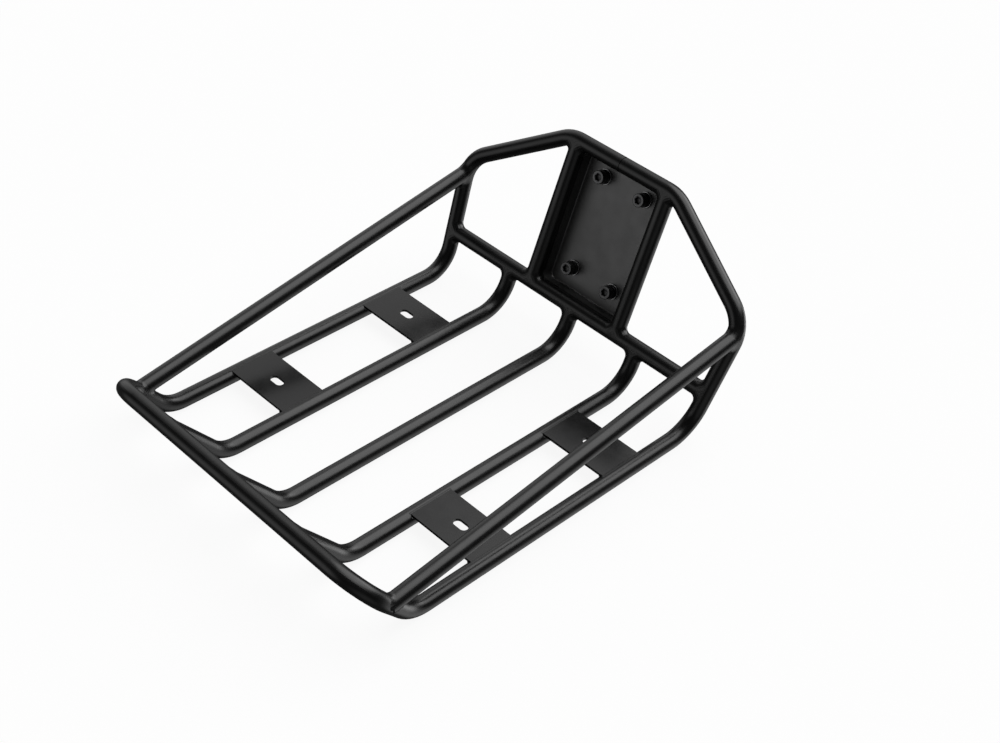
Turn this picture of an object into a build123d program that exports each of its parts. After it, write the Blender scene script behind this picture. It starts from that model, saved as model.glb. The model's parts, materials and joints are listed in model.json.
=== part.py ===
from build123d import *
import os
from math import cos, radians, sin

# Front cargo rack for a bicycle, welded from round steel tube.
#
# One tube is bent into a closed ring: it runs along both sides of the floor, rises to a low bar
# at the front, and turns up at the back into a six-sided hoop that leans rearward. Three more
# tubes run along the floor, a cross tube and two posts fill the hoop, and a sheet steel tray
# between the posts takes four screws into the bicycle's head tube bracket. A straight rail
# braces each side of the hoop, and four slotted tabs between the floor tubes hold a deck.
#
# +X is to one side, +Y towards the hoop, +Z up. The rack stands on z = 0, and the origin is
# under the middle of its box. Lengths are in millimetres, angles in degrees.

# Tube stock
tube_diameter = 12
tube_wall = 1.5
bend_radius = 28            # centre line, the same die for every bend
lip_margin = 0.5            # a squarely met end stops this far short of its neighbour's axis

# Floor, between the corners where the tube axes would meet
floor_length = 264.5
floor_half_width = 126
floor_inner_offset = 64     # from the middle tube to the two beside it

# Front bar, seen from the front corner of the floor
front_reach = 41
front_rise = 47
front_half_width = 129

# Hoop, heights measured along its leaning plane from the floor tube axes
hoop_lean = 18.8
cross_height = 32
wide_height = 90.5
wide_half_width = 135.5
top_height = 147
top_half_width = 50.5
post_offset = 43
seam_width = 0.8
seam_depth = 0.4

# Side rails
rail_front_half_width = 129
rail_front_reach = 21
rail_front_rise = 23.8
rail_back_half_width = 133.7
rail_back_height = 80.6

# Deck tabs
tab_length = 36
tab_thickness = 2
tab_top = 5.8               # above the floor tube axes, nearly level with the tubes
tab_front_middle = 72       # from the front corner of the floor
tab_spacing = 123.5
slot_length = 12
slot_width = 6.6

# Mounting tray, depths measured back from the hoop's own plane
tray_sheet = 3
tray_front_depth = 2.5      # its walls begin here, against the rear halves of the tubes
tray_floor_depth = 12.5
tray_corner_radius = 8
tray_press_radius = 4
tray_weld_gap = 0.1
screw_hole_diameter = 6.6

# M6 x 16 socket head screws with a spring washer and a flat washer
screw_spacing_across = 39
screw_spacing_up = 74.5
screw_middle_height = 91
shank_diameter = 5.3        # reduced, as a rolled thread leaves it
shank_length = 7.2          # plain, through the washers and the tray
thread_diameter = 5.9       # outer diameter of the M6 thread
screw_length = 16
screw_tip_chamfer = 0.8
head_diameter = 10
head_height = 6
head_rim_radius = 0.5
socket_width = 5
socket_depth = 3
flat_washer_diameter = 12
flat_washer_bore = 6.4
flat_washer_thickness = 1.6
spring_washer_diameter = 11
spring_washer_bore = 6.2
spring_washer_thickness = 2
spring_washer_split = 1
spring_washer_split_angle = 20

# Worked out from the above
tube_radius = tube_diameter / 2
tube_bore_radius = tube_radius - tube_wall
lean_sin = sin(radians(hoop_lean))
lean_cos = cos(radians(hoop_lean))
sides = {"left": -1, "right": 1}

under_head_depth = tray_floor_depth - flat_washer_thickness - spring_washer_thickness
screw_tip_depth = under_head_depth + screw_length
upper_screw_height = screw_middle_height + screw_spacing_up / 2
front_edge = -(front_reach + tube_radius)
back_edge = (
    floor_length
    + upper_screw_height * lean_sin
    + screw_tip_depth * lean_cos
    + (thread_diameter / 2 - screw_tip_chamfer) * lean_sin
)
middle = (front_edge + back_edge) / 2


def floor_point(x, along, above=0):
    """A point given from the front corner of the floor, at the height of the tube axes."""
    return Vector(x, along - middle, above + tube_radius)


def hoop_point(x, height, depth=0):
    """A point given in the hoop's leaning plane, and how far behind that plane it is."""
    along = floor_length + height * lean_sin + depth * lean_cos
    return floor_point(x, along, height * lean_cos - depth * lean_sin)


def hoop_plane(height, depth):
    """A plane parallel to the hoop that faces the front, with its y axis up the hoop."""
    return Plane(hoop_point(0, height, depth), x_dir=(1, 0, 0), z_dir=(0, -lean_cos, lean_sin))


def save(builder, name):
    builder.part.label = name
    export_step(builder.part, f"parts/{name}.step")


def short_of(end, start):
    """The end of an axis, drawn back towards its start, so that a coped lip keeps some width."""
    return end + (start - end).normalized() * lip_margin


def between(start, end):
    """A straight axis that stops a little short of both points."""
    return [short_of(start, end), short_of(end, start)]


def bar(points, radius=tube_radius):
    """A full round bar along a bent or straight axis."""
    with BuildPart() as full_bar:
        with BuildLine() as axis:
            if len(points) > 2:
                FilletPolyline(*points, radius=bend_radius)
            else:
                Line(*points)
        with BuildSketch(Plane(axis.line @ 0, z_dir=axis.line % 0)):
            Circle(radius)
        sweep()
    return full_bar.part


def write_tube(name, points, neighbours=()):
    """A tube along the axis, its ends coped to lie against the neighbours' outer faces."""
    outside = bar(points)
    bore = bar(points, tube_bore_radius)
    with BuildPart() as tube:
        add(outside)
        add(bore, mode=Mode.SUBTRACT)
        for neighbour in neighbours:
            add(neighbour, mode=Mode.SUBTRACT)
    save(tube, name)


os.makedirs("parts", exist_ok=True)

# ---- Axes of the tubes

ring_side = [
    hoop_point(top_half_width, top_height),
    hoop_point(wide_half_width, wide_height),
    floor_point(floor_half_width, floor_length),
    floor_point(floor_half_width, 0),
    floor_point(front_half_width, -front_reach, front_rise),
]
ring_other_side = [Vector(-p.X, p.Y, p.Z) for p in reversed(ring_side)]
seam_ends = [hoop_point(side * seam_width / 2, top_height) for side in (1, -1)]
ring_axis = [seam_ends[0], *ring_side, *ring_other_side, seam_ends[1]]

cross_half_width = floor_half_width + (wide_half_width - floor_half_width) * cross_height / wide_height
cross_ends = [hoop_point(side * cross_half_width, cross_height) for side in (-1, 1)]


def inner_floor_axis(x):
    """A floor tube's axis, from the front bar to the cross tube."""
    front_corner = floor_point(x, 0)
    back_corner = floor_point(x, floor_length)
    front_end = short_of(floor_point(x, -front_reach, front_rise), front_corner)
    back_end = short_of(hoop_point(x, cross_height), back_corner)
    return [front_end, front_corner, back_corner, back_end]


# ---- Bars that the other pieces are coped against

ring_bar = bar(ring_axis)
cross_bar = bar(cross_ends)
inner_floor_bars = {side: bar(inner_floor_axis(sides[side] * floor_inner_offset)) for side in sides}

# ---- Ring, with its butt seam in the middle of the top

write_tube("perimeter_tube", ring_axis)

with BuildPart() as seam_weld:
    with BuildSketch(Plane(seam_ends[1], x_dir=(0, 1, 0), z_dir=(1, 0, 0))):
        Circle(tube_radius - seam_depth)
        Circle(tube_bore_radius, mode=Mode.SUBTRACT)
    extrude(amount=seam_width)
save(seam_weld, "top_seam_weld")

# ---- Cross tube, posts and inner floor tubes

write_tube("cross_tube", between(*cross_ends), [ring_bar])

for side, sign in sides.items():
    post_ends = [hoop_point(sign * post_offset, height) for height in (cross_height, top_height)]
    write_tube(f"post_{side}", between(*post_ends), [ring_bar, cross_bar])

write_tube("floor_tube_middle", inner_floor_axis(0), [ring_bar, cross_bar])
for side, sign in sides.items():
    inner_axis = inner_floor_axis(sign * floor_inner_offset)
    write_tube(f"floor_tube_{side}", inner_axis, [ring_bar, cross_bar])

# ---- Side rails, from the rising part of the ring to the hoop's wide corners

for side, sign in sides.items():
    rail_axis = [
        floor_point(sign * rail_front_half_width, -rail_front_reach, rail_front_rise),
        hoop_point(sign * rail_back_half_width, rail_back_height),
    ]
    write_tube(f"side_rail_{side}", rail_axis, [ring_bar])

# ---- Deck tabs, let in between an outer and an inner floor tube

tab_middle_x = (floor_half_width + floor_inner_offset) / 2
tab_reach = floor_half_width - floor_inner_offset

for side, sign in sides.items():
    for place, along in {"front": tab_front_middle, "rear": tab_front_middle + tab_spacing}.items():
        tab_plane = Plane(floor_point(sign * tab_middle_x, along, tab_top - tab_thickness))
        with BuildPart() as tab:
            with BuildSketch(tab_plane):
                Rectangle(tab_reach, tab_length)
                SlotOverall(slot_length, slot_width, mode=Mode.SUBTRACT)
            extrude(amount=tab_thickness)
            add(ring_bar, mode=Mode.SUBTRACT)
            add(inner_floor_bars[side], mode=Mode.SUBTRACT)
        save(tab, f"deck_tab_{place}_{side}")

# ---- Mounting tray, a pressed pan open to the front, with four screw holes
#
# Its walls stand behind the tubes, their inner faces level with the tubes' inner sides.

tray_width = 2 * (post_offset - tube_radius + tray_sheet)
tray_height = top_height - cross_height - 2 * (tube_radius - tray_sheet)
tray_middle_height = (top_height + cross_height) / 2
tray_depth = tray_floor_depth + tray_sheet
tray_frame_axes = [
    *([hoop_point(sign * post_offset, height) for height in (cross_height, top_height)] for sign in (-1, 1)),
    *([hoop_point(sign * top_half_width, height) for sign in (-1, 1)] for height in (cross_height, top_height)),
]
tray_frame_bars = [bar(axis, tube_radius + tray_weld_gap) for axis in tray_frame_axes]

with BuildPart() as tray:
    with BuildSketch(hoop_plane(tray_middle_height, tray_depth)):
        RectangleRounded(tray_width, tray_height, tray_corner_radius)
    extrude(amount=tray_depth - tray_front_depth)
    hoop_normal = Axis((0, 0, 0), (0, -lean_cos, lean_sin))
    back_face = tray.faces().sort_by(hoop_normal)[0]
    fillet(back_face.edges(), radius=tray_press_radius)
    front_face = tray.faces().sort_by(hoop_normal)[-1]
    offset(amount=-tray_sheet, openings=front_face)
    with BuildSketch(hoop_plane(screw_middle_height, tray_depth)):
        with GridLocations(screw_spacing_across, screw_spacing_up, 2, 2):
            Circle(screw_hole_diameter / 2)
    extrude(amount=tray_depth, mode=Mode.SUBTRACT)
    for frame_bar in tray_frame_bars:
        add(frame_bar, mode=Mode.SUBTRACT)
save(tray, "mounting_tray")

# ---- Screws and washers, four of each in one node

flat_washer_plane = hoop_plane(screw_middle_height, tray_floor_depth)
spring_washer_plane = flat_washer_plane.offset(flat_washer_thickness)
head_plane = spring_washer_plane.offset(spring_washer_thickness)

with BuildPart() as flat_washers:
    with BuildSketch(flat_washer_plane):
        with GridLocations(screw_spacing_across, screw_spacing_up, 2, 2):
            Circle(flat_washer_diameter / 2)
            Circle(flat_washer_bore / 2, mode=Mode.SUBTRACT)
    extrude(amount=flat_washer_thickness)
save(flat_washers, "flat_washers")

with BuildPart() as spring_washers:
    with BuildSketch(spring_washer_plane):
        with GridLocations(screw_spacing_across, screw_spacing_up, 2, 2):
            Circle(spring_washer_diameter / 2)
            Circle(spring_washer_bore / 2, mode=Mode.SUBTRACT)
            Rectangle(
                spring_washer_diameter,
                spring_washer_split,
                rotation=spring_washer_split_angle,
                align=(Align.MIN, Align.CENTER),
                mode=Mode.SUBTRACT,
            )
    extrude(amount=spring_washer_thickness)
save(spring_washers, "spring_washers")

with BuildPart() as screws:
    with BuildSketch(head_plane):
        with GridLocations(screw_spacing_across, screw_spacing_up, 2, 2):
            Circle(head_diameter / 2)
    extrude(amount=head_height)
    head_rims = screws.edges().filter_by(GeomType.CIRCLE).group_by(hoop_normal)
    fillet([edge for group in head_rims[len(head_rims) // 2 :] for edge in group], radius=head_rim_radius)
    with BuildSketch(head_plane.offset(head_height)):
        with GridLocations(screw_spacing_across, screw_spacing_up, 2, 2):
            RegularPolygon(socket_width / 2, 6, major_radius=False, rotation=30)
    extrude(amount=-socket_depth, mode=Mode.SUBTRACT)
    with BuildSketch(head_plane):
        with GridLocations(screw_spacing_across, screw_spacing_up, 2, 2):
            Circle(shank_diameter / 2)
    extrude(amount=-shank_length)
    with BuildSketch(head_plane.offset(-screw_length)):
        with GridLocations(screw_spacing_across, screw_spacing_up, 2, 2):
            Circle(thread_diameter / 2)
    extrude(amount=screw_length - shank_length)
    tip_edges = screws.edges().filter_by(GeomType.CIRCLE).filter_by(
        lambda edge: abs((edge.center() - head_plane.origin).dot(head_plane.z_dir) + screw_length) < 0.01
    )
    chamfer(tip_edges, length=screw_tip_chamfer)
save(screws, "mounting_screws")
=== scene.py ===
"""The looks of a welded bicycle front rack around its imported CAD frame.

The tubes, tabs and tray are the CAD nodes with a black powder coat. The weld metal at every
joint is added here, and the screws and washers are replaced by finer ones with threads, hex
sockets and rounded rims. Lengths are in metres, in the CAD frame: +Y towards the hoop.
"""

import json
import math

import bpy
import numpy as np
from mathutils import Matrix, Vector


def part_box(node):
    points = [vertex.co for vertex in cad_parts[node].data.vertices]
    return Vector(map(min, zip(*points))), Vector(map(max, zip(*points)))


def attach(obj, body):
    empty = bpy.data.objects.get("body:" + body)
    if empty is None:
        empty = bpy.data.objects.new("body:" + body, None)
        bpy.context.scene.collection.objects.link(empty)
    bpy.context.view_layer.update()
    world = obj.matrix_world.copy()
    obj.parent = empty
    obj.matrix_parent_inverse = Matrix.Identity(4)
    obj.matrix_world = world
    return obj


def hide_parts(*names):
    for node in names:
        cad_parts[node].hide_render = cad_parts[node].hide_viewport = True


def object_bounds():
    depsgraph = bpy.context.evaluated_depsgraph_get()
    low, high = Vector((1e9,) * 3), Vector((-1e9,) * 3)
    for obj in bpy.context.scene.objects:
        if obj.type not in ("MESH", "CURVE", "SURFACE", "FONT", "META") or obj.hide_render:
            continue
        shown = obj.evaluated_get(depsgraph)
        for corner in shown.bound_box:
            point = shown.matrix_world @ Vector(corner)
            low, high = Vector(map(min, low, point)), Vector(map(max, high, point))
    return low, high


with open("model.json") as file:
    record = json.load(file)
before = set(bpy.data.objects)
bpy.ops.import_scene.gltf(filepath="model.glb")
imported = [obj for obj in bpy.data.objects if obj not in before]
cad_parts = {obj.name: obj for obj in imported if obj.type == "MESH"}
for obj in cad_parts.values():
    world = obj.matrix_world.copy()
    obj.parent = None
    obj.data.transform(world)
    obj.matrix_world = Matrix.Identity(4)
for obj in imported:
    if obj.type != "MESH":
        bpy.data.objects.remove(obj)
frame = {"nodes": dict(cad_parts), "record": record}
cad_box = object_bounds()

MM = 0.001

# ---- The CAD model's own dimensions, which the welds follow

bend_radius = 28 * MM
floor_length = 264.5 * MM
floor_half_width = 126 * MM
front_reach = 41 * MM
front_rise = 47 * MM
front_half_width = 129 * MM
cross_height = 32 * MM
wide_height = 90.5 * MM
wide_half_width = 135.5 * MM
top_height = 147 * MM
top_half_width = 50.5 * MM
post_offset = 43 * MM
rail_front_half_width = 129 * MM
rail_front_reach = 21 * MM
rail_front_rise = 23.8 * MM
rail_back_half_width = 133.7 * MM
rail_back_height = 80.6 * MM
tray_sheet = 3 * MM
tray_front_depth = 2.5 * MM
tray_corner_radius = 8 * MM

cross_low, cross_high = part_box("cross_tube")
tube_radius = (cross_high.z - cross_low.z) / 2
ring_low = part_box("perimeter_tube")[0]
floor_front_y = ring_low.y + front_reach + tube_radius
mounts = {mount["name"]: mount for mount in frame["record"]["mounts"]}
screw_axis = Vector(mounts["frame_screw_upper_left"]["axis"])
lean_sin = -screw_axis.z
lean_cos = screw_axis.y
sides = {"left": -1, "right": 1}


def floor_point(x, along, above=0.0):
    """A point given from the front corner of the floor, at the height of the tube axes."""
    return np.array([x, floor_front_y + along, tube_radius + above])


def hoop_point(x, height, depth=0.0):
    """A point given in the hoop's leaning plane, and how far behind that plane it is."""
    along = floor_length + height * lean_sin + depth * lean_cos
    return floor_point(x, along, height * lean_cos - depth * lean_sin)


up_hoop = np.array([0, lean_sin, lean_cos])
back_hoop = np.array([0, lean_cos, -lean_sin])
across = np.array([1.0, 0, 0])
upward = np.array([0, 0, 1.0])


def unit(v):
    return v / np.linalg.norm(v, axis=-1, keepdims=True)


# ---- Centre lines of the tubes

arc_steps = 24


def centre_line(corners):
    """The corners joined by straight runs, each bend an arc of the bend radius."""
    line = [corners[0]]
    for before, corner, after in zip(corners, corners[1:], corners[2:]):
        inward = unit(corner - before)
        outward = unit(after - corner)
        turn = math.acos(np.clip(inward @ outward, -1, 1))
        start = corner - inward * bend_radius * math.tan(turn / 2)
        side = unit(outward - (outward @ inward) * inward)
        for angle in np.linspace(0, turn, arc_steps + 1):
            line.append(start + bend_radius * (math.sin(angle) * inward + (1 - math.cos(angle)) * side))
    line.append(corners[-1])
    return np.array(line)


ring_side = [
    hoop_point(top_half_width, top_height),
    hoop_point(wide_half_width, wide_height),
    floor_point(floor_half_width, floor_length),
    floor_point(floor_half_width, 0),
    floor_point(front_half_width, -front_reach, front_rise),
]
ring_other_side = [corner * [-1, 1, 1] for corner in reversed(ring_side)]
top_middle = hoop_point(0, top_height)
ring_line = centre_line([top_middle, *ring_side, *ring_other_side, top_middle])
cross_half_width = floor_half_width + (wide_half_width - floor_half_width) * cross_height / wide_height
cross_line = np.array([hoop_point(side * cross_half_width, cross_height) for side in (-1, 1)])


def nearest_on(line, points):
    """The nearest point of a centre line to each of the points."""
    starts, runs = line[:-1], np.diff(line, axis=0)
    lengths = np.maximum((runs * runs).sum(1), 1e-18)
    offsets = points[:, None, :] - starts[None]
    shares = np.clip((offsets * runs).sum(2) / lengths, 0, 1)
    feet = starts[None] + shares[..., None] * runs[None]
    best = np.linalg.norm(points[:, None, :] - feet, axis=2).argmin(1)
    return feet[np.arange(len(points)), best]


# ---- Materials


def noise(tree, scale, detail):
    """Fractal noise in the object's own coordinates, scale in features per metre."""
    coordinates = tree.nodes.new("ShaderNodeTexCoord")
    texture = tree.nodes.new("ShaderNodeTexNoise")
    texture.inputs["Scale"].default_value = scale
    texture.inputs["Detail"].default_value = detail
    texture.inputs["Roughness"].default_value = 0.5
    tree.links.new(coordinates.outputs["Object"], texture.inputs["Vector"])
    return texture.outputs["Fac"]


def spread(tree, value, low, high, from_low=0.3, from_high=0.7):
    """A noise value stretched to run from low to high."""
    node = tree.nodes.new("ShaderNodeMapRange")
    node.inputs["From Min"].default_value = from_low
    node.inputs["From Max"].default_value = from_high
    node.inputs["To Min"].default_value = low
    node.inputs["To Max"].default_value = high
    tree.links.new(value, node.inputs["Value"])
    return node.outputs["Result"]


def combine(tree, operation, first, second):
    """A sum, difference or product of two values, each a number or another node's output."""
    node = tree.nodes.new("ShaderNodeMath")
    node.operation = operation
    for socket, value in zip(node.inputs, (first, second)):
        if isinstance(value, (int, float)):
            socket.default_value = value
        else:
            tree.links.new(value, socket)
    return node.outputs["Value"]


def blend_colours(tree, share, first, second):
    """The first colour where the share is 0 and the second where it is 1."""
    node = tree.nodes.new("ShaderNodeMix")
    node.data_type = "RGBA"
    node.inputs["A"].default_value = (*first, 1)
    node.inputs["B"].default_value = (*second, 1)
    tree.links.new(share, node.inputs["Factor"])
    return node.outputs["Result"]


wear_scale = 260
worn_cosine = 0.80
unworn_cosine = 0.98


def worn_edges(tree, radius):
    """1 near sharp edges and 0 on open surfaces, broken up by noise."""
    bevel = tree.nodes.new("ShaderNodeBevel")
    bevel.samples = 4
    bevel.inputs["Radius"].default_value = radius
    geometry = tree.nodes.new("ShaderNodeNewGeometry")
    dot = tree.nodes.new("ShaderNodeVectorMath")
    dot.operation = "DOT_PRODUCT"
    tree.links.new(bevel.outputs["Normal"], dot.inputs[0])
    tree.links.new(geometry.outputs["Normal"], dot.inputs[1])
    edge = spread(tree, dot.outputs["Value"], 1, 0, worn_cosine, unworn_cosine)
    patches = spread(tree, noise(tree, wear_scale, 4), 0, 1, 0.42, 0.62)
    return combine(tree, "MULTIPLY", edge, patches)


def new_material(name):
    material = bpy.data.materials.new(name)
    material.use_nodes = True
    shader = material.node_tree.nodes["Principled BSDF"]
    return material, material.node_tree, shader


def add_bump(tree, shader, height, distance):
    bump = tree.nodes.new("ShaderNodeBump")
    bump.inputs["Distance"].default_value = distance
    bump.inputs["Strength"].default_value = 1.0
    tree.links.new(height, bump.inputs["Height"])
    tree.links.new(bump.outputs["Normal"], shader.inputs["Normal"])


coat_cloud_scale = 45
coat_speck_scale = 2600
coat_gloss_scale = 90
coat_peel_scale = 1300
coat_peel_depth = 0.012 * MM
coat_wear_radius = 0.5 * MM


def powder_coat(name, smooth, rough, ior=1.5):
    """Black powder coat: a faint orange peel, patchy gloss and edges rubbed a little paler."""
    material, tree, shader = new_material(name)
    wear = worn_edges(tree, coat_wear_radius)
    clouds = combine(tree, "MULTIPLY", noise(tree, coat_cloud_scale, 3), 0.6)
    specks = combine(tree, "MULTIPLY", noise(tree, coat_speck_scale, 1), 0.4)
    mottle = combine(tree, "ADD", clouds, specks)
    share = combine(tree, "ADD", spread(tree, mottle, 0, 0.6, 0.35, 0.65), wear)
    tree.links.new(blend_colours(tree, share, coat_dark, coat_pale), shader.inputs["Base Color"])
    gloss = spread(tree, noise(tree, coat_gloss_scale, 3), smooth, rough)
    rubbed = combine(tree, "MULTIPLY", wear, 0.06)
    tree.links.new(combine(tree, "SUBTRACT", gloss, rubbed), shader.inputs["Roughness"])
    shader.inputs["IOR"].default_value = ior
    add_bump(tree, shader, noise(tree, coat_peel_scale, 2), coat_peel_depth)
    return material


steel_stain_scale = 420
steel_polish_scale = 900
steel_scratch_scale = 4200
steel_scratch_depth = 0.006 * MM


def plated_steel(name, colour, shade, smooth, rough):
    """Turned and plated steel: metallic, with fine marks and uneven tarnish."""
    material, tree, shader = new_material(name)
    shader.inputs["Metallic"].default_value = 1.0
    stains = spread(tree, noise(tree, steel_stain_scale, 4), 0, 1)
    tree.links.new(blend_colours(tree, stains, colour, shade), shader.inputs["Base Color"])
    polish = spread(tree, noise(tree, steel_polish_scale, 3), smooth, rough)
    tree.links.new(polish, shader.inputs["Roughness"])
    add_bump(tree, shader, noise(tree, steel_scratch_scale, 2), steel_scratch_depth)
    return material


coat_dark = (0.0018, 0.0018, 0.0019)
coat_pale = (0.0042, 0.0042, 0.0044)
oxide_colour = (0.105, 0.105, 0.107)
oxide_shade = (0.075, 0.075, 0.076)
spring_colour = (0.05, 0.05, 0.052)
spring_shade = (0.028, 0.028, 0.03)
zinc_colour = (0.42, 0.42, 0.425)
zinc_shade = (0.22, 0.22, 0.222)
materials = {
    "frame_coat": powder_coat("frame_powder_coat", 0.27, 0.33),
    "tab_coat": powder_coat("tab_powder_coat", 0.19, 0.24),
    "tray_coat": powder_coat("tray_powder_coat", 0.44, 0.50, ior=2.2),
    "screw_black": plated_steel("black_oxide_steel", oxide_colour, oxide_shade, 0.24, 0.32),
    "spring_steel": plated_steel("dark_spring_steel", spring_colour, spring_shade, 0.30, 0.45),
    "zinc_plate": plated_steel("dulled_zinc_plate", zinc_colour, zinc_shade, 0.16, 0.26),
}

for subpart in frame["record"]["subparts"]:
    node = frame["nodes"][subpart["node"]]
    node.data.materials.clear()
    node.data.materials.append(materials[subpart["material_slot"]])

# Sheet steel has its cut edges rounded by the coat.
coat_edge_radius = 0.35 * MM
for name, node in frame["nodes"].items():
    if name.startswith("deck_tab") or name == "mounting_tray":
        bevel = node.modifiers.new("rounded_edges", "BEVEL")
        bevel.width = coat_edge_radius
        bevel.segments = 2
        bevel.limit_method = "ANGLE"
        bevel.angle_limit = math.radians(40)

# ---- Mesh pieces


def add_piece(name, points, faces, slot, smooth_angle=40):
    """A mesh piece that rides with the rack and takes its finish from a material slot."""
    mesh = bpy.data.meshes.new(name)
    mesh.from_pydata([tuple(p) for p in points], [], faces)
    mesh.validate()
    mesh.polygons.foreach_set("use_smooth", [True] * len(mesh.polygons))
    mesh.set_sharp_from_angle(angle=math.radians(smooth_angle))
    mesh.materials.append(materials[slot])
    piece = bpy.data.objects.new(name, mesh)
    bpy.context.scene.collection.objects.link(piece)
    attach(piece, "root")
    return piece


def skin(loops, closed_along=False, first=0):
    """Faces between successive loops of points, and over the two ends unless they meet."""
    count = len(loops[0])
    faces = []
    pairs = list(zip(range(len(loops)), range(1, len(loops))))
    if closed_along:
        pairs.append((len(loops) - 1, 0))
    for i, j in pairs:
        here, there = first + i * count, first + j * count
        for k in range(count):
            n = (k + 1) % count
            faces.append([here + k, here + n, there + n, there + k])
    if not closed_along:
        last = first + (len(loops) - 1) * count
        faces.append([first + k for k in reversed(range(count))])
        faces.append([last + k for k in range(count)])
    return faces


# ---- Weld metal

weld_steps = 8
weld_sink = 0.04 * MM
ripple_pitch = 1.7 * MM
ripple_share = 0.16
ripple_samples = 6
halvings = 40
tube_weld_stations = 144
tube_weld_leg = 4.2 * MM
tube_weld_crown = 0.55 * MM
tube_root_depth = 0.6 * MM
sheet_weld_crown = 0.12 * MM
sheet_root_depth = 0.5 * MM
sheet_fade_length = 2.2 * MM
sheet_least_size = 0.02


def weld_bead(name, toes_a, controls, toes_b, roots, closed):
    """A strip of weld metal: at each station a hollow face between its toes, closed over a buried root."""
    shares = np.linspace(0, 1, weld_steps + 1)[:, None]
    loops = []
    for toe_a, control, toe_b, root in zip(toes_a, controls, toes_b, roots):
        face = (1 - shares) ** 2 * toe_a + 2 * shares * (1 - shares) * control + shares**2 * toe_b
        loops.append(np.vstack([face, root]))
    return add_piece(name, np.vstack(loops), skin(loops, closed_along=closed), "frame_coat", 50)


def ripples(stations):
    """How full the weld is at each station: the small steps that the torch leaves."""
    steps = np.linalg.norm(np.diff(stations, axis=0), axis=1)
    travelled = np.concatenate([[0], np.cumsum(steps)])
    total = travelled[-1]
    waves = max(1, round(total / ripple_pitch))
    return 1 + ripple_share * np.sin(2 * np.pi * waves * travelled / max(total, 1e-9))


def tube_weld(name, end, away, main, leg=tube_weld_leg, crown=tube_weld_crown):
    """The weld around a straight tube whose axis ends at the given point of another tube's axis."""
    away = unit(away)
    first = unit(np.cross(away, up_hoop if abs(away @ up_hoop) < 0.8 else across))
    second = np.cross(away, first)
    angles = np.linspace(0, 2 * np.pi, tube_weld_stations, endpoint=False)[:, None]
    branch_normals = np.cos(angles) * first + np.sin(angles) * second

    def on_branch(distances):
        return end + away * distances[:, None] + tube_radius * branch_normals

    inside = np.zeros(tube_weld_stations)
    outside = np.full(tube_weld_stations, 4 * tube_radius)
    for _ in range(halvings):
        middle = (inside + outside) / 2
        points = on_branch(middle)
        clear = np.linalg.norm(points - nearest_on(main, points), axis=1) > tube_radius
        outside = np.where(clear, middle, outside)
        inside = np.where(clear, inside, middle)
    seam = on_branch(outside)
    main_normals = unit(seam - nearest_on(main, seam))
    forward = unit(np.roll(seam, -1, axis=0) - np.roll(seam, 1, axis=0))
    along_branch = np.cross(forward, branch_normals)
    along_branch *= np.sign(along_branch @ away)[:, None]
    along_main = np.cross(forward, main_normals)
    along_main *= np.sign((along_main * branch_normals).sum(1))[:, None]
    toes_branch = seam + leg * unit(along_branch)
    axis_feet = end + ((toes_branch - end) @ away)[:, None] * away
    toes_branch = axis_feet + (tube_radius - weld_sink) * unit(toes_branch - axis_feet)
    toes_main = seam + leg * unit(along_main)
    main_feet = nearest_on(main, toes_main)
    toes_main = main_feet + (tube_radius - weld_sink) * unit(toes_main - main_feet)
    outward = unit(branch_normals + main_normals)
    fullness = ripples(np.vstack([seam, seam[:1]]))[:-1, None]
    controls = seam + crown * fullness * outward
    roots = seam - tube_root_depth * outward
    return weld_bead(name, toes_branch, controls, toes_main, roots, True)


def sheet_weld(
    name, start, finish, tube_axis, along_sheet, along_tube, outward, leg, crown=sheet_weld_crown
):
    """A straight weld between a sheet and a tube, from start to finish, faded out at both ends."""
    length = np.linalg.norm(finish - start)
    count = round(length / (ripple_pitch / ripple_samples))
    shares = np.linspace(0, 1, count)[:, None]
    seam = start + shares * (finish - start)
    from_end = np.minimum(shares, 1 - shares) * length / sheet_fade_length
    fade = np.sqrt(1 - (1 - np.clip(from_end, sheet_least_size, 1)) ** 2)
    axis = unit(finish - start)
    toes_sheet = seam + leg * fade * along_sheet
    stepped = seam + leg * fade * along_tube
    centres = tube_axis + ((stepped - tube_axis) @ axis)[:, None] * axis
    toes_tube = centres + (tube_radius - weld_sink) * unit(stepped - centres)
    outward = unit(outward)
    fullness = ripples(seam)[:, None]
    controls = seam + crown * fullness * fade * outward
    roots = seam - sheet_root_depth * outward
    sheet_normal = unit(np.cross(axis, along_sheet))
    toes_sheet = toes_sheet - weld_sink * sheet_normal * np.sign(sheet_normal @ outward)
    return weld_bead(name, toes_sheet, controls, toes_tube, roots, False)


floor_offsets = {}
for place in ("left", "middle", "right"):
    low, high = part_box(f"floor_tube_{place}")
    floor_offsets[place] = (low.x + high.x) / 2

# Tubes, with smaller welds where the side rails meet the rising tubes at the front
rail_front_leg = 2.4 * MM
rail_front_crown = 0.3 * MM
for side, sign in sides.items():
    cross_end = hoop_point(sign * cross_half_width, cross_height)
    tube_weld(f"weld_cross_{side}", cross_end, -sign * across, ring_line)
    tube_weld(f"weld_post_{side}_top", hoop_point(sign * post_offset, top_height), -up_hoop, ring_line)
    tube_weld(f"weld_post_{side}_bottom", hoop_point(sign * post_offset, cross_height), up_hoop, cross_line)
    rail_front = floor_point(sign * rail_front_half_width, -rail_front_reach, rail_front_rise)
    rail_back = hoop_point(sign * rail_back_half_width, rail_back_height)
    along_rail = rail_back - rail_front
    tube_weld(f"weld_rail_{side}_front", rail_front, along_rail, ring_line, rail_front_leg, rail_front_crown)
    tube_weld(f"weld_rail_{side}_back", rail_back, -along_rail, ring_line)

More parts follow.
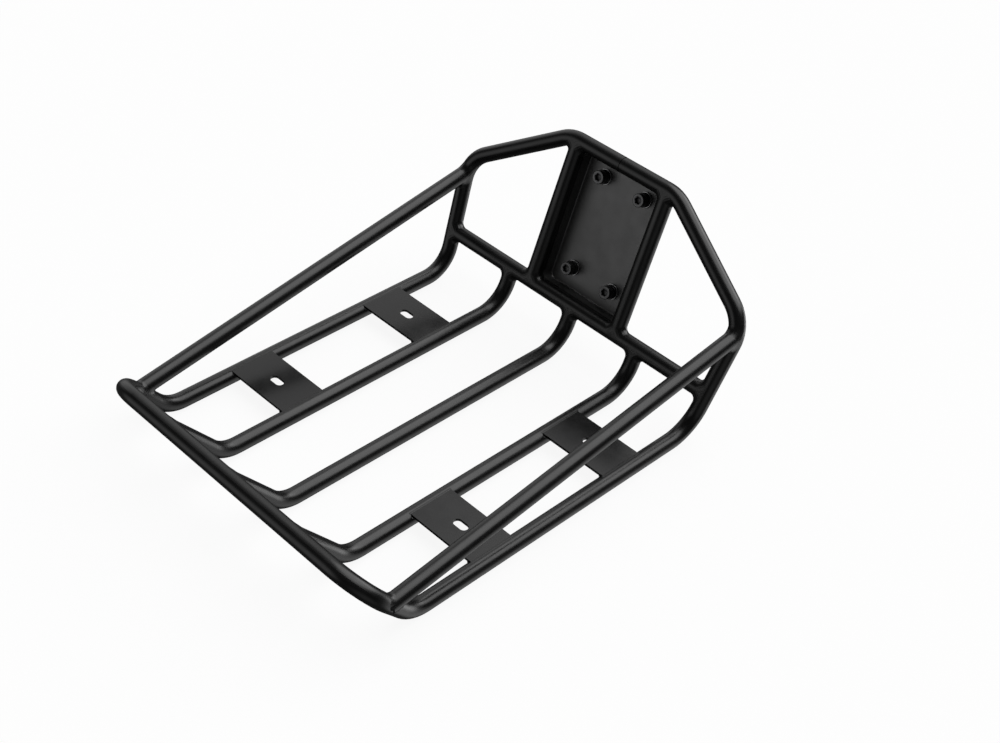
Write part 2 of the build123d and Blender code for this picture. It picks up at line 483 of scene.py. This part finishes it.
for place, x in floor_offsets.items():
    front_end = floor_point(x, -front_reach, front_rise)
    tube_weld(f"weld_floor_{place}_front", front_end, floor_point(x, 0) - front_end, ring_line)
    tube_weld(f"weld_floor_{place}_back", hoop_point(x, cross_height), -up_hoop, cross_line)

# Deck tabs, welded to the outer and the inner tube along both faces
tab_weld_leg = 1.6 * MM
tab_weld_crown = 0.15 * MM
tab_weld_overrun = 0.9 * MM
for place in ("front_left", "front_right", "rear_left", "rear_right"):
    tab_low, tab_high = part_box(f"deck_tab_{place}")
    sign = 1 if tab_low.x > 0 else -1
    outer_x = sign * floor_half_width
    inner_x = floor_offsets["right" if sign > 0 else "left"]
    for edge, tube_x, towards in (("outer", outer_x, sign), ("inner", inner_x, -sign)):
        for face, z, facing in (("top", tab_high.z, 1), ("under", tab_low.z, -1)):
            half_chord = math.sqrt(tube_radius**2 - (z - tube_radius) ** 2)
            seam_x = tube_x - towards * half_chord
            sheet_weld(
                f"weld_tab_{place}_{edge}_{face}",
                np.array([seam_x, tab_low.y - tab_weld_overrun, z]),
                np.array([seam_x, tab_high.y + tab_weld_overrun, z]),
                np.array([tube_x, 0, tube_radius]),
                -towards * across,
                facing * upward,
                facing * upward - towards * across,
                tab_weld_leg,
                tab_weld_crown,
            )

# Mounting tray, welded to a tube along each of its four sides, in front of the wall and behind it
tray_middle = hoop_point(0, (top_height + cross_height) / 2)
tray_half_height = (top_height - cross_height) / 2
outer_offset = tube_radius - tray_sheet
outer_depth = math.sqrt(tube_radius**2 - outer_offset**2)
front_weld_leg = 1.2 * MM
back_weld_leg = 2.6 * MM
back_weld_crown = 0.3 * MM

for edge, outward_side, to_axis, run, half_run in (
    ("left", -across, post_offset, up_hoop, tray_half_height),
    ("right", across, post_offset, up_hoop, tray_half_height),
    ("bottom", -up_hoop, tray_half_height, across, post_offset),
    ("top", up_hoop, tray_half_height, across, post_offset),
):
    tube_axis = tray_middle + to_axis * outward_side
    half = (half_run - tube_radius + tray_sheet - tray_corner_radius) * run
    inner_line = tube_axis - tube_radius * outward_side + tray_front_depth * back_hoop
    outer_line = tube_axis - outer_offset * outward_side + outer_depth * back_hoop
    sheet_weld(
        f"weld_tray_{edge}_front",
        inner_line - half,
        inner_line + half,
        tube_axis,
        back_hoop,
        -back_hoop,
        -outward_side,
        front_weld_leg,
    )
    sheet_weld(
        f"weld_tray_{edge}_back",
        outer_line - half,
        outer_line + half,
        tube_axis,
        back_hoop,
        outward_side,
        back_hoop + outward_side,
        back_weld_leg,
        back_weld_crown,
    )

# ---- Screws and washers

turn_steps = 96
screw_names = ("upper_left", "upper_right", "lower_left", "lower_right")
screw_length = 16 * MM
shank_length = 7.2 * MM
shank_radius = 2.65 * MM
head_height = 6 * MM
head_radius = 5 * MM
head_rim = 0.5 * MM
socket_half_width = 2.5 * MM
socket_depth = 3 * MM
head_edge = 0.25 * MM
neck_radius = 3.3 * MM
neck_height = 0.3 * MM
shoulder_height = 0.05 * MM
socket_rim_drop = 0.04 * MM
socket_lead = 0.15 * MM
lead_clearance = 0.02 * MM
socket_floor_share = 0.9
socket_floor_slope = 0.1 * MM
drill_point = 0.9 * MM
centre_radius = 0.02 * MM
thread_pitch = 1 * MM
thread_depth = 0.55 * MM
thread_samples = 9
thread_flank = 0.44
thread_crest = 0.86
thread_dims = mounts["frame_screw_upper_left"]["dims"]
thread_radius = thread_dims["r_mm"] * MM
thread_wall = thread_dims["length_mm"] * MM
tip_chamfer = screw_length - shank_length - thread_wall
turn_angles = np.linspace(0, 2 * np.pi, turn_steps, endpoint=False)


def screw_frame(name):
    """A frame whose origin is under the screw's head, with z along the axis to the front."""
    mount = mounts[f"frame_screw_{name}"]
    under_head = Vector(mount["pos_m"]) - screw_axis * (shank_length + thread_wall / 2)
    z = -screw_axis
    x = Vector((1, 0, 0))
    y = z.cross(x)
    return Matrix((x, y, z)).transposed().to_4x4(), under_head


def placed(loops, name):
    """Loops given in a screw's own frame, moved to that screw."""
    turn, origin = screw_frame(name)
    return [[turn @ Vector(point) + origin for point in loop] for loop in loops]


def round_loop(radius, z):
    """A loop about the axis, whose radius is one number or one for each angle."""
    radius = np.broadcast_to(radius, turn_angles.shape)
    return [(r * math.cos(a), r * math.sin(a), z) for r, a in zip(radius, turn_angles)]


def hex_radius(half_width):
    """The outline of a hexagon, two of its sides level, as a radius for each angle."""
    sixth = math.pi / 3
    return half_width / np.cos(turn_angles % sixth - sixth / 2)


def arc_loops(radius, z, bend, start, stop, steps=5):
    """Loops round a rim: a quarter circle of the bend's radius about a ring."""
    return [
        round_loop(radius + bend * math.cos(a), z + bend * math.sin(a))
        for a in np.linspace(math.radians(start), math.radians(stop), steps)
    ]


def thread_loops():
    """The thread from its run-out behind the tray to the tip, as a grooved cylinder."""
    loops = []
    turns = (screw_length - shank_length) / thread_pitch
    for z in np.linspace(-shank_length, -screw_length, round(turns * thread_samples) + 1):
        phase = (z / thread_pitch - turn_angles / (2 * np.pi)) % 1
        ridge = np.clip(1 - abs(phase - 0.5) / thread_flank, 0, thread_crest) / thread_crest
        radius = thread_radius - thread_depth * (1 - ridge)
        to_tip = z + screw_length
        radius = np.minimum(radius, thread_radius - tip_chamfer + to_tip)
        run_out = np.clip((-z - shank_length) / thread_pitch, 0, 1)
        radius = thread_radius - (thread_radius - radius) * run_out
        loops.append(round_loop(radius, z))
    return loops


def screw_loops():
    """A socket head screw, from the middle of its tip round to the bottom of its socket."""
    socket_round = socket_half_width * 2 / math.sqrt(3)
    hexagon = hex_radius(socket_half_width)
    lead_hexagon = np.minimum(hexagon + lead_clearance, socket_round)
    top = head_height
    loops = [round_loop(centre_radius, -screw_length)]
    loops += thread_loops()[::-1]
    loops.append(round_loop(shank_radius, -shank_length + shoulder_height))
    loops.append(round_loop(shank_radius, -neck_height))
    loops.append(round_loop(neck_radius, 0))
    loops += arc_loops(head_radius - head_edge, head_edge, head_edge, -90, 0, 4)
    loops += arc_loops(head_radius - head_rim, top - head_rim, head_rim, 0, 90)
    loops.append(round_loop(socket_round + 2 * socket_lead, top))
    loops.append(round_loop(socket_round + socket_lead, top - socket_rim_drop))
    loops.append(round_loop(lead_hexagon, top - socket_lead))
    loops.append(round_loop(hexagon, top - 2 * socket_lead))
    loops.append(round_loop(hexagon, top - socket_depth))
    floor_edge = socket_half_width * socket_floor_share
    loops.append(round_loop(floor_edge, top - socket_depth - socket_floor_slope))
    loops.append(round_loop(centre_radius, top - socket_depth - drill_point))
    return loops


def lathe_piece(name, loops, slot, node, ring=False, smooth_angle=35):
    """The same turned shape at each of the four screws, as one piece."""
    points, faces = [], []
    for screw in screw_names:
        placed_loops = placed(loops, screw)
        faces += skin(placed_loops, closed_along=ring, first=len(points))
        points += [point for loop in placed_loops for point in loop]
    piece = add_piece(name, points, faces, slot, smooth_angle)
    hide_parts(node)
    return piece


spring_thickness = 2 * MM
spring_outer = 5.5 * MM
spring_inner = 3.1 * MM
spring_edge = 0.25 * MM
spring_split_angle = math.radians(20)
spring_half_gap = 0.5 * MM
spring_lift = 0.12 * MM
spring_squeeze = 0.94
spring_sink = 0.06 * MM
spring_stations = 73
flat_thickness = 1.6 * MM
flat_outer = 6 * MM
flat_inner = 3.2 * MM
flat_edge = 0.2 * MM


def flat_washer_loops():
    """A flat ring behind the spring washer, all four of its edges rounded."""
    high = -spring_thickness - flat_edge
    low = -spring_thickness - flat_thickness + flat_edge
    loops = arc_loops(flat_outer - flat_edge, high, flat_edge, 90, 0, 4)
    loops += arc_loops(flat_outer - flat_edge, low, flat_edge, 0, -90, 4)
    loops += arc_loops(flat_inner + flat_edge, low, flat_edge, 270, 180, 4)
    loops += arc_loops(flat_inner + flat_edge, high, flat_edge, 180, 90, 4)
    return loops


def spring_washer_loops():
    """Sections of a split ring of nearly square wire, its two ends a little out of line."""
    outer, inner, edge = spring_outer, spring_inner, spring_edge
    low, high = -spring_thickness, 0
    section = [
        (outer - edge, high),
        (outer, high - edge),
        (outer, low + edge),
        (outer - edge, low),
        (inner + edge, low),
        (inner, low + edge),
        (inner, high - edge),
        (inner + edge, high),
    ]
    gap = spring_half_gap / ((outer + inner) / 2)
    first, last = spring_split_angle + gap, spring_split_angle + 2 * np.pi - gap
    loops = []
    for a in np.linspace(first, last, spring_stations):
        shift = spring_lift * (0.5 - (a - spring_split_angle) / (2 * np.pi)) - spring_sink
        loops.append([(r * math.cos(a), r * math.sin(a), z * spring_squeeze + shift) for r, z in section])
    return loops


lathe_piece("screws_with_threads", screw_loops(), "screw_black", "mounting_screws")
lathe_piece("flat_washers_plated", flat_washer_loops(), "zinc_plate", "flat_washers", ring=True)
lathe_piece("spring_washers_split", spring_washer_loops(), "spring_steel", "spring_washers", smooth_angle=30)

# ---- Floor, camera and light

floor_half = 4.0
paper_roughness = 0.9
paper_glow = 0.91
paper_grain_scale = 900
paper_dark = (0.07, 0.07, 0.07)
paper_pale = (0.09, 0.09, 0.09)

floor_mesh = bpy.data.meshes.new("floor")
floor_corners = [(x * floor_half, y * floor_half, 0) for x, y in ((-1, -1), (1, -1), (1, 1), (-1, 1))]
floor_mesh.from_pydata(floor_corners, [], [(0, 1, 2, 3)])
floor = bpy.data.objects.new("floor", floor_mesh)
bpy.context.scene.collection.objects.link(floor)
floor_paper, floor_tree, floor_shader = new_material("white_paper")
floor_shader.inputs["Roughness"].default_value = paper_roughness
floor_shader.inputs["Specular IOR Level"].default_value = 0.0
paper_tone = blend_colours(floor_tree, noise(floor_tree, paper_grain_scale, 3), paper_dark, paper_pale)
floor_tree.links.new(paper_tone, floor_shader.inputs["Base Color"])
floor_shader.inputs["Emission Color"].default_value = (1, 1, 1, 1)
floor_shader.inputs["Emission Strength"].default_value = paper_glow
floor_mesh.materials.append(floor_paper)

# The paper shows the rack's shadow, but neither lights the rack nor is mirrored in it.
floor.visible_glossy = False
floor.visible_diffuse = False

camera_azimuth = math.radians(42.191)
camera_elevation = math.radians(39.048)
camera_roll = math.radians(5.230)
camera_distance = 1.0862
aim_right = 0.03787
aim_up = -0.02461
camera_lens = 57.571

box_middle = (cad_box[0] + cad_box[1]) / 2
look_back = Vector((
    math.sin(camera_azimuth) * math.cos(camera_elevation),
    -math.cos(camera_azimuth) * math.cos(camera_elevation),
    math.sin(camera_elevation),
))
level_right = Vector((math.cos(camera_azimuth), math.sin(camera_azimuth), 0))
level_up = look_back.cross(level_right)
camera_right = math.cos(camera_roll) * level_right + math.sin(camera_roll) * level_up
camera_up = look_back.cross(camera_right)
aim = box_middle + aim_right * camera_right + aim_up * camera_up
camera_data = bpy.data.cameras.new("camera")
camera_data.lens = camera_lens
camera_data.clip_start = 0.05
camera = bpy.data.objects.new("camera", camera_data)
bpy.context.scene.collection.objects.link(camera)
camera.rotation_mode = "QUATERNION"
camera.rotation_quaternion = Matrix((camera_right, camera_up, look_back)).transposed().to_quaternion()
camera.location = aim + look_back * camera_distance
bpy.context.scene.camera = camera

# Soft boxes: the direction towards each, half its width and its edge's softness in degrees, brightness
soft_boxes = {
    "key_above_and_behind": ((0.18, 0.50, 0.85), 35, 5, 2.6),
    "rim_behind": ((0.20, 0.90, 0.38), 14, 6, 1.9),
    "fill_left": ((-0.80, 0.42, 0.42), 30, 12, 0.75),
    "fill_front_left": ((-0.48, -0.87, 0.03), 20, 12, 0.7),
    "fill_low_front_right": ((0.70, -0.62, -0.38), 22, 12, 0.25),
    "bounce_low_behind": ((0.50, 0.58, -0.64), 26, 8, 0.8),
    "bounce_rim_behind": ((0.29, 0.92, -0.26), 14, 6, 2.2),
}
room_glow = 0.06

world = bpy.data.worlds.new("studio")
bpy.context.scene.world = world
world.use_nodes = True
sky = world.node_tree
sky.nodes.clear()
direction = sky.nodes.new("ShaderNodeTexCoord").outputs["Generated"]
brightness = room_glow
for label, (towards, half_width, edge, level) in soft_boxes.items():
    dot = sky.nodes.new("ShaderNodeVectorMath")
    dot.operation = "DOT_PRODUCT"
    dot.label = label
    dot.inputs[1].default_value = Vector(towards).normalized()
    sky.links.new(direction, dot.inputs[0])
    outer = math.cos(math.radians(half_width + edge))
    inner = math.cos(math.radians(half_width - edge))
    glow = spread(sky, dot.outputs["Value"], 0, level, outer, inner)
    brightness = combine(sky, "ADD", glow, brightness)
lit = sky.nodes.new("ShaderNodeBackground")
sky.links.new(brightness, lit.inputs["Color"])
backdrop = sky.nodes.new("ShaderNodeBackground")
backdrop.inputs["Color"].default_value = (1, 1, 1, 1)
ray = sky.nodes.new("ShaderNodeLightPath")
chosen = sky.nodes.new("ShaderNodeMixShader")
sky.links.new(ray.outputs["Is Camera Ray"], chosen.inputs["Fac"])
sky.links.new(lit.outputs["Background"], chosen.inputs[1])
sky.links.new(backdrop.outputs["Background"], chosen.inputs[2])
world_out = sky.nodes.new("ShaderNodeOutputWorld")
sky.links.new(chosen.outputs["Shader"], world_out.inputs["Surface"])

bpy.context.scene.view_settings.view_transform = "Standard"
bpy.context.scene.view_settings.look = "None"
